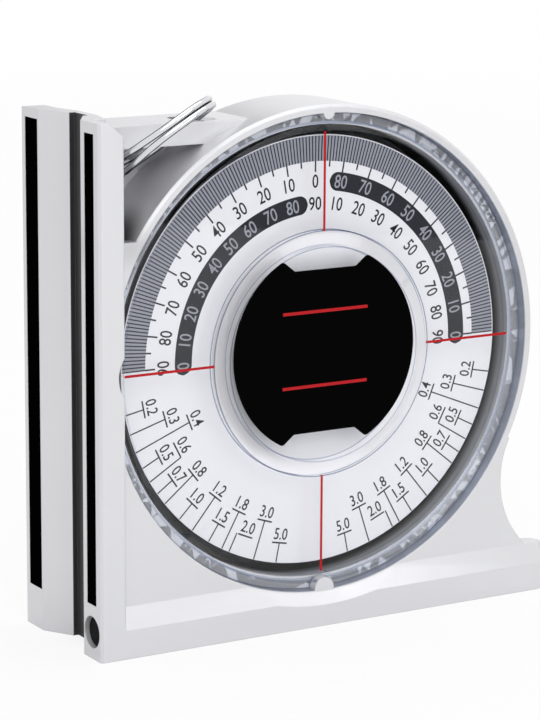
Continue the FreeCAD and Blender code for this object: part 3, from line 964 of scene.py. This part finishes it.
@dataclass
class DialWheel:
    """The weighted dial: its film, plate, hub, axle and weight, with the print on its face."""

    film_mm: float = 0.02
    over_mm: float = 0.035
    sink_mm: float = 0.01
    edge_radius: float = 41.5
    band_outer: float = 41.4
    band_inner: float = 36.56
    five_end: float = 35.45
    ten_end: float = 34.5
    fine_width: float = 0.23
    tick_width: float = 0.3
    slope_tick_share: float = 0.8
    least_steps: int = 8
    steps_per_degree: float = 1.5
    end_share: float = 0.12
    numeral_height: float = 2.6
    numeral_share: float = 0.79
    numeral_weight: float = 0.006
    numeral_steps: int = 3
    glyph_half: float = 0.1
    inner_ring: float = 28.5
    outer_ring: float = 32.75
    strip_half: float = 1.8
    inner_strip: Pair = (-93.5, -3.3)
    outer_strip: Pair = (5.6, 93.0)
    slope_offset: float = 1.75
    slope_height: float = 2.3
    bar_length: float = 3.35
    outer_bar: float = 37.65
    middle_bar: float = 33.8
    inner_bar: float = 29.3
    face_y: float = -9.65

    def build(self) -> None:
        """Dresses the dial's parts and prints its face."""
        for node, finish in (
            ("dial_face", DIAL_FILM),
            ("dial_plate", SHEET),
            ("dial_hub", BRASS),
            ("pivot_axle", STEEL),
            ("counterweight", BRASS),
            ("weight_rivets", STEEL),
        ):
            dress(node, finish)
        self.face_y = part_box("dial_face")[0].y / MM
        self.bands()
        self.ticks()
        self.numerals()

    def ink_middle(self) -> float:
        """Gives the depth at which a line of ink has its middle, in millimetres."""
        return self.face_y - (self.over_mm - self.sink_mm) / 2

    def sector(
        self,
        graph: bmesh.types.BMesh,
        start: float,
        end: float,
        ring: Pair,
        rounded: bool,
    ) -> None:
        """Adds a closed thin band between two angles.

        Args:
            graph: The mesh under way.
            start: First angle in degrees.
            end: Last angle in degrees.
            ring: Inner and outer radius in millimetres.
            rounded: Whether its ends are round.
        """
        inner, outer = ring
        middle = (inner + outer) / 2
        half = (outer - inner) / 2
        steps = max(self.least_steps, round(abs(end - start) * self.steps_per_degree))
        rows = []
        for i in range(steps + 1):
            angle = start + (end - start) * i / steps
            run = min(abs(angle - start), abs(end - angle)) * math.pi / 180 * middle
            share = 1.0
            if rounded and run < half:
                share = math.sqrt(max(0.0, 1 - (1 - run / half) ** 2))
            share = max(share, self.end_share)
            low, high = middle - half * share, middle + half * share
            proud, sunk = self.face_y - self.film_mm, self.face_y + self.sink_mm
            corners = ((low, proud), (high, proud), (high, sunk), (low, sunk))
            rows.append([graph.verts.new(on_dial(angle, *corner)) for corner in corners])
        skin(graph, rows)

    def bands(self) -> None:
        """Prints the grey degree band and the two dark strips behind the pale numerals."""
        graph = bmesh.new()
        self.sector(graph, -90, 90, (self.band_inner, self.band_outer), False)
        self.close(graph, "degree_band", BAND_INK)
        graph = bmesh.new()
        half = self.strip_half
        strips = ((self.inner_strip, self.inner_ring), (self.outer_strip, self.outer_ring))
        for reach, ring in strips:
            self.sector(graph, *reach, (ring - half, ring + half), True)
        self.close(graph, "numeral_strips", DARK_INK)

    def close(self, graph: bmesh.types.BMesh, name: str, finish: Finish) -> None:
        """Turns a mesh under way into a piece of the dial's print.

        Args:
            graph: The mesh under way, which is freed.
            name: The piece's name.
            finish: Its ink.
        """
        add_piece(name, closed_mesh(graph, name), finish, Body.DIAL)

    def slopes(self) -> list[Slope]:
        """Lists the marks of the lower scale."""
        out, mid, inn = self.outer_bar, self.middle_bar, self.inner_bar
        return [
            Slope(0.2, out), Slope(0.3, mid), Slope(0.4, inn), Slope(0.5, out),
            Slope(0.6, mid, 3.0), Slope(0.7, out), Slope(0.8, mid), Slope(1.0, out),
            Slope(1.2, mid), Slope(1.5, out), Slope(1.8, mid), Slope(2.0, out, -3.1),
            Slope(3.0, mid), Slope(5.0, out),
        ]

    def ticks(self) -> None:
        """Prints the degree lines and the marks and bars of the lower scale."""
        marks = []
        for degree in range(-90, 91):
            marks.append((degree, self.band_inner, self.band_outer, self.fine_width))
            if degree % 10 == 0:
                marks.append((degree, self.ten_end, self.band_inner, self.tick_width))
            elif degree % 5 == 0:
                marks.append((degree, self.five_end, self.band_inner, self.tick_width))
        for slope in self.slopes():
            lean = math.degrees(math.atan2(1, slope.value))
            for side in (-1, 1):
                tick = 180 + side * lean
                label = 180 + side * (lean + slope.lead_deg)
                bar = slope.bar_radius
                width = self.tick_width
                marks.append((tick, bar, self.edge_radius, width * self.slope_tick_share))
                marks.append((label, bar - width / 2, bar + width / 2, self.bar_length))
        points = bpy.data.meshes.new("scale_points")
        points.from_pydata([(0, 0, 0)] * len(marks), [], [])
        for index, label in enumerate(("angle", "inner", "outer", "width")):
            layer = points.attributes.new(label, "FLOAT", "POINT")
            scale = math.pi / 180 if label == "angle" else MM
            layer.data.foreach_set("value", [mark[index] * scale for mark in marks])
        source = add_object("scale_source", points)
        values = {
            "Thickness": (self.over_mm + self.sink_mm) * MM,
            "Middle Depth": self.ink_middle() * MM,
            "Centre X": DRUM_X * MM,
            "Centre Z": DRUM_Z * MM,
            "Finish": DARK_INK.build(),
        }
        add_modifier(source, marks_tree(), values)
        add_piece("scale_lines", plain_mesh(source), DARK_INK, Body.DIAL)

    def glyphs(self, text: str) -> bpy.types.Mesh:
        """Makes a closed mesh of a number, one unit high and thick and centred on zero.

        Args:
            text: The number.

        Returns:
            The mesh, in the XY plane.
        """
        curve = bpy.data.curves.new("number", "FONT")
        curve.body = text
        curve.extrude = self.glyph_half
        curve.offset = self.numeral_weight
        curve.resolution_u = self.numeral_steps
        mesh = plain_mesh(add_object("number", curve))
        xs = [v.co.x for v in mesh.vertices]
        ys = [v.co.y for v in mesh.vertices]
        height = max(ys) - min(ys)
        middle = Vector(((min(xs) + max(xs)) / 2, (min(ys) + max(ys)) / 2, 0))
        mesh.transform(Matrix.Translation(-middle))
        thicken = 0.5 / self.glyph_half
        mesh.transform(Matrix.Diagonal((self.numeral_share / height, 1 / height, thicken, 1)))
        return mesh

    def numbers(
        self, rows: list[tuple[str, float, float, float, Tops]], name: str, finish: Finish
    ) -> None:
        """Prints a set of numbers as one piece.

        Args:
            rows: Text, angle, radius, height and direction of each number.
            name: The piece's name.
            finish: Its ink.
        """
        graph = bmesh.new()
        made: dict[str, bpy.types.Mesh] = {}
        for text, angle, radius, height, tops in rows:
            if text not in made:
                made[text] = self.glyphs(text)
            copy = made[text].copy()
            turn = Matrix.Rotation(math.radians(angle + tops.value), 4, "Y")
            thick = self.over_mm + self.sink_mm
            size = Matrix.Diagonal((height * MM, height * MM, thick * MM, 1))
            place = on_dial(angle, radius, self.ink_middle())
            copy.transform(Matrix.Translation(place) @ turn @ UPRIGHT @ size)
            graph.from_mesh(copy)
            bpy.data.meshes.remove(copy)
        for mesh in made.values():
            bpy.data.meshes.remove(mesh)
        bmesh.ops.remove_doubles(graph, verts=graph.verts[:], dist=WELD_GAP)
        self.close(graph, name, finish)

    def numerals(self) -> None:
        """Prints the numbers of the upper and lower scales."""
        dark, pale = [], []
        high = self.numeral_height
        dark.append(("0", 0, self.outer_ring, high, Tops.OUTWARD))
        dark.append(("90", 0, self.inner_ring, high, Tops.OUTWARD))
        for step in range(1, 10):
            up, down = str(step * 10), str(90 - step * 10)
            angle = step * 10
            dark.append((up, -angle, self.outer_ring, high, Tops.OUTWARD))
            dark.append((up, angle, self.inner_ring, high, Tops.OUTWARD))
            pale.append((down, -angle, self.inner_ring, high, Tops.OUTWARD))
            pale.append((down, angle, self.outer_ring, high, Tops.OUTWARD))
        for slope in self.slopes():
            lean = math.degrees(math.atan2(1, slope.value)) + slope.lead_deg
            for side in (-1, 1):
                place, radius = 180 + side * lean, slope.bar_radius - self.slope_offset
                dark.append(
                    (f"{slope.value:.1f}", place, radius, self.slope_height, Tops.INWARD)
                )
        self.numbers(dark, "dark_numerals", DARK_INK)
        self.numbers(pale, "pale_numerals", PALE_INK)


@dataclass
class Housing:
    """The casting with its magnets, keepers and the fixed bearings of the dial."""

    crease_deg: float = 12.0

    def build(self) -> None:
        """Dresses the casting and what is fixed to it."""
        dress("frame", CASTING, self.crease_deg)
        for place in ("rail_front", "rail_rear", "base_front", "base_rear"):
            dress(f"{place}_magnet", FERRITE_STRIP)
            dress(f"{place}_keeper", STEEL)
        dress("end_magnet", FERRITE_PLUG)
        for node in ("front_bearing", "bearing_screw", "bearing_nut"):
            dress(node, BRASS)
        dress("rear_bearing", STEEL)


@dataclass
class LensCover:
    """The clear lens with its gasket, red hairlines and black label."""

    stripe_half: float = 9.4
    stripe_width: float = 0.6
    stripe_heights: Pair = (8.6, -5.75)
    stripe_proud: float = 0.03
    crease_deg: float = 12.0

    def build(self) -> None:
        """Dresses the lens and lays two stripes on the label."""
        dress("lens", ACRYLIC, self.crease_deg)
        dress("lens_gasket", GASKET)
        dress("hairlines", RED_FILL)
        dress("label_plate", LABEL)
        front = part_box("label_plate")[0].y / MM
        graph = bmesh.new()
        for height in self.stripe_heights:
            rows = []
            for y in (front - self.stripe_proud, front + self.stripe_proud):
                row = []
                for x, z in ((-1, -1), (1, -1), (1, 1), (-1, 1)):
                    along = DRUM_X + x * self.stripe_half
                    up = DRUM_Z + height + z * self.stripe_width / 2
                    row.append(graph.verts.new(Vector((along, y, up)) * MM))
                rows.append(row)
            skin(graph, rows)
        mesh = closed_mesh(graph, "label_stripes")
        add_piece("label_stripes", mesh, RED_FILL, Body.HOUSING)


@dataclass
class SplitRing:
    """The chromed split ring: two turns of wire that lie against each other."""

    centre: Triple = (-33.9, -10.5, 96.4)
    along: Triple = (0.869, 0.0, 0.495)
    out: Triple = (-0.452, 0.406, 0.794)
    coil_radius: float = 10.53
    wire_half: float = 0.62
    touch_share: float = 1.01
    spread: float = 0.6
    spread_power: int = 3
    turns: float = 1.94
    step_deg: float = 30.0
    heading_deg: float = 180.0
    end_shares: tuple[float, ...] = (0.45, 0.8, 0.95)
    sides: int = 24
    steps: int = 260

    def build(self) -> None:
        """Winds the wire, closes its ends and lets it stand for the plain ring."""
        centre = Vector(self.centre)
        along = Vector(self.along).normalized()
        out = Vector(self.out).normalized()
        across = out.cross(along).normalized()
        total = self.turns * 360
        parts = [2 * math.pi * k / self.sides for k in range(self.sides)]
        graph = bmesh.new()
        rows = []
        for i in range(self.steps + 1):
            angle = total * i / self.steps
            share = min(1.0, max(-1.0, (angle - total / 2) / (self.step_deg / 2)))
            turn = math.radians(angle + self.heading_deg)
            facing = max(0.0, math.cos(turn - math.radians(self.heading_deg)))
            reach = self.wire_half * self.touch_share + self.spread * facing**self.spread_power
            lift = reach * math.sin(share * math.pi / 2)
            radial = along * math.cos(turn) + across * math.sin(turn)
            middle = centre + radial * self.coil_radius + out * lift
            ends = min(i, self.steps - i)
            half = self.wire_half * (self.end_shares[ends] if ends < len(self.end_shares) else 1.0)
            row = [
                middle + radial * half * math.cos(part) + out * half * math.sin(part)
                for part in parts
            ]
            rows.append([graph.verts.new(corner * MM) for corner in row])
        skin(graph, rows)
        for found in graph.faces:
            found.smooth = len(found.verts) == 4
        mesh = closed_mesh(graph, "wound_ring")
        # Painted shade and reflection: marks the sides of the wire, where the turns lie together,
        # for the finish to blacken.
        layer = mesh.attributes.new("wire_shade", "FLOAT", "POINT")
        wire_shade = [abs(math.sin(part)) for part in parts]
        layer.data.foreach_set("value", wire_shade * (self.steps + 1))
        ring = add_piece("wound_ring", mesh, CHROME, Body.RING)
        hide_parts("split_ring")


@dataclass(frozen=True)
class Card:
    """One black card: where its middle stands and its size, all in metres."""

    name: str
    stand: Triple
    width: float
    height: float


@dataclass(frozen=True)
class Lamp(Card):
    """One soft box: a card that shines, with its power in watts."""

    watts: float


@dataclass
class Studio:
    """The floor, the soft boxes, the white room and the camera."""

    eye: Triple = (-0.2810, -0.4633, 0.1629)
    azimuth_deg: float = 30.786
    elevation_deg: float = 11.834
    roll_deg: float = 0.349
    lens_mm: float = 142.4
    film_mm: float = 36.0
    clip_start: float = 0.01
    floor_half: float = 6.0
    floor_gap: float = 0.00002
    room_light: float = 0.7
    flags: tuple[Card, ...] = (
        Card("low_flag", (0.32, -0.34, 0.03), 0.34, 0.14),
        Card("high_flag", (0.053, 0.527, 0.349), 0.3, 0.4),
    )
    flag_aim: Triple = (-0.034, -0.01, 0.096)
    lamps: tuple[Lamp, ...] = (
        Lamp("key_box", (-0.35, -0.75, 0.75), 0.7, 0.5, 2.6),
        Lamp("top_box", (0.15, 0.15, 0.9), 0.8, 0.8, 2.3),
        Lamp("front_box", (0.55, -0.9, 0.35), 0.6, 0.8, 1.7),
    )
    lamp_aim: Triple = (0, 0, 0.05)

    def build(self) -> None:
        """Sets up everything around the object."""
        bpy.context.scene.view_settings.view_transform = "Standard"
        self.floor()
        self.room()
        for flag in self.flags:
            self.flag(flag)
        for lamp in self.lamps:
            self.soft_box(lamp)
        self.camera()

    def sheet(self, name: str, corners: list, finish: Finish) -> bpy.types.Object:
        """Makes one flat sheet.

        Args:
            name: Its name.
            corners: Its four corners in order, in metres.
            finish: What it is made of.

        Returns:
            The new object.
        """
        mesh = bpy.data.meshes.new(name)
        mesh.from_pydata(corners, [], [(0, 1, 2, 3)])
        mesh.materials.append(finish.build())
        return add_object(name, mesh)

    def floor(self) -> None:
        """Lays the pale floor just under the base."""
        half = self.floor_half
        low = float(CAD_BOX[0][2]) - self.floor_gap
        corners = [(x * half, y * half, low) for x, y in ((-1, -1), (1, -1), (1, 1), (-1, 1))]
        floor = self.sheet("floor", corners, PAPER)

    def flag(self, flag: Card) -> None:
        """Stands a black card beside the view, which only shows in polished metal.

        Args:
            flag: Its place and size.
        """
        middle = Vector(flag.stand)
        facing = (Vector(self.flag_aim) - middle).normalized()
        level = facing.cross(Vector((0, 0, 1))).normalized() * flag.width / 2
        rise = level.cross(facing).normalized() * flag.height / 2
        corners = [
            middle + level * x + rise * y for x, y in ((-1, -1), (1, -1), (1, 1), (-1, 1))
        ]
        card = self.sheet(flag.name, corners, FLAG_CLOTH)
        card.visible_camera = False
        card.visible_diffuse = False
        card.visible_shadow = False
        card.visible_transmission = False

    def room(self) -> None:
        """Makes the room white to the eye and in gloss, and soft as a light."""
        world = bpy.data.worlds.new("white_room")
        world.use_nodes = True
        tree = world.node_tree
        tree.nodes.clear()
        path = add_node(tree, "ShaderNodeLightPath").outputs
        seen = maths(tree, "MAXIMUM", path["Is Camera Ray"], path["Is Glossy Ray"])
        seen = maths(tree, "MAXIMUM", seen, path["Is Transmission Ray"])
        soft, white = (
            add_node(
                tree, "ShaderNodeBackground", {}, {"Color": (1, 1, 1, 1), "Strength": strength}
            ).outputs["Background"]
            for strength in (self.room_light, 1.0)
        )
        mixed = add_node(tree, "ShaderNodeMixShader", {0: seen, 1: soft, 2: white}).outputs[0]
        add_node(tree, "ShaderNodeOutputWorld", {"Surface": mixed})
        bpy.context.scene.world = world

    def soft_box(self, lamp: Lamp) -> None:
        """Hangs one soft box.

        Args:
            lamp: Its place, size and power.
        """
        light = bpy.data.lights.new(lamp.name, "AREA")
        light.shape = "RECTANGLE"
        light.size = lamp.width
        light.size_y = lamp.height
        light.energy = lamp.watts
        box = add_object(lamp.name, light)
        aim = Vector(self.lamp_aim) - Vector(lamp.stand)
        box.location = lamp.stand
        box.rotation_euler = aim.to_track_quat("-Z", "Y").to_euler()

    def camera(self) -> None:
        """Stands the camera where the photograph was taken from."""
        turn, lift, roll = (
            math.radians(a) for a in (self.azimuth_deg, self.elevation_deg, self.roll_deg)
        )
        ahead = Vector(
            (math.sin(turn) * math.cos(lift), math.cos(turn) * math.cos(lift), -math.sin(lift))
        )
        level = Vector((math.cos(turn), -math.sin(turn), 0))
        above = level.cross(ahead)
        right = level * math.cos(roll) + above * math.sin(roll)
        up = above * math.cos(roll) - level * math.sin(roll)
        lens = bpy.data.cameras.new("camera")
        lens.lens = self.lens_mm
        lens.sensor_width = self.film_mm
        lens.sensor_fit = "AUTO"
        lens.clip_start = self.clip_start
        camera = add_object("camera", lens)
        place = Matrix((right, up, -ahead)).transposed().to_4x4()
        place.translation = Vector(self.eye)
        camera.matrix_world = place
        bpy.context.scene.camera = camera


def main() -> None:
    """Builds the sub-assemblies in order and reports each piece."""
    logging.basicConfig(level=logging.INFO, format="%(name)s: %(message)s")
    Housing().build()
    LensCover().build()
    DialWheel().build()
    SplitRing().build()
    Studio().build()


if __name__ == "__main__":
    main()
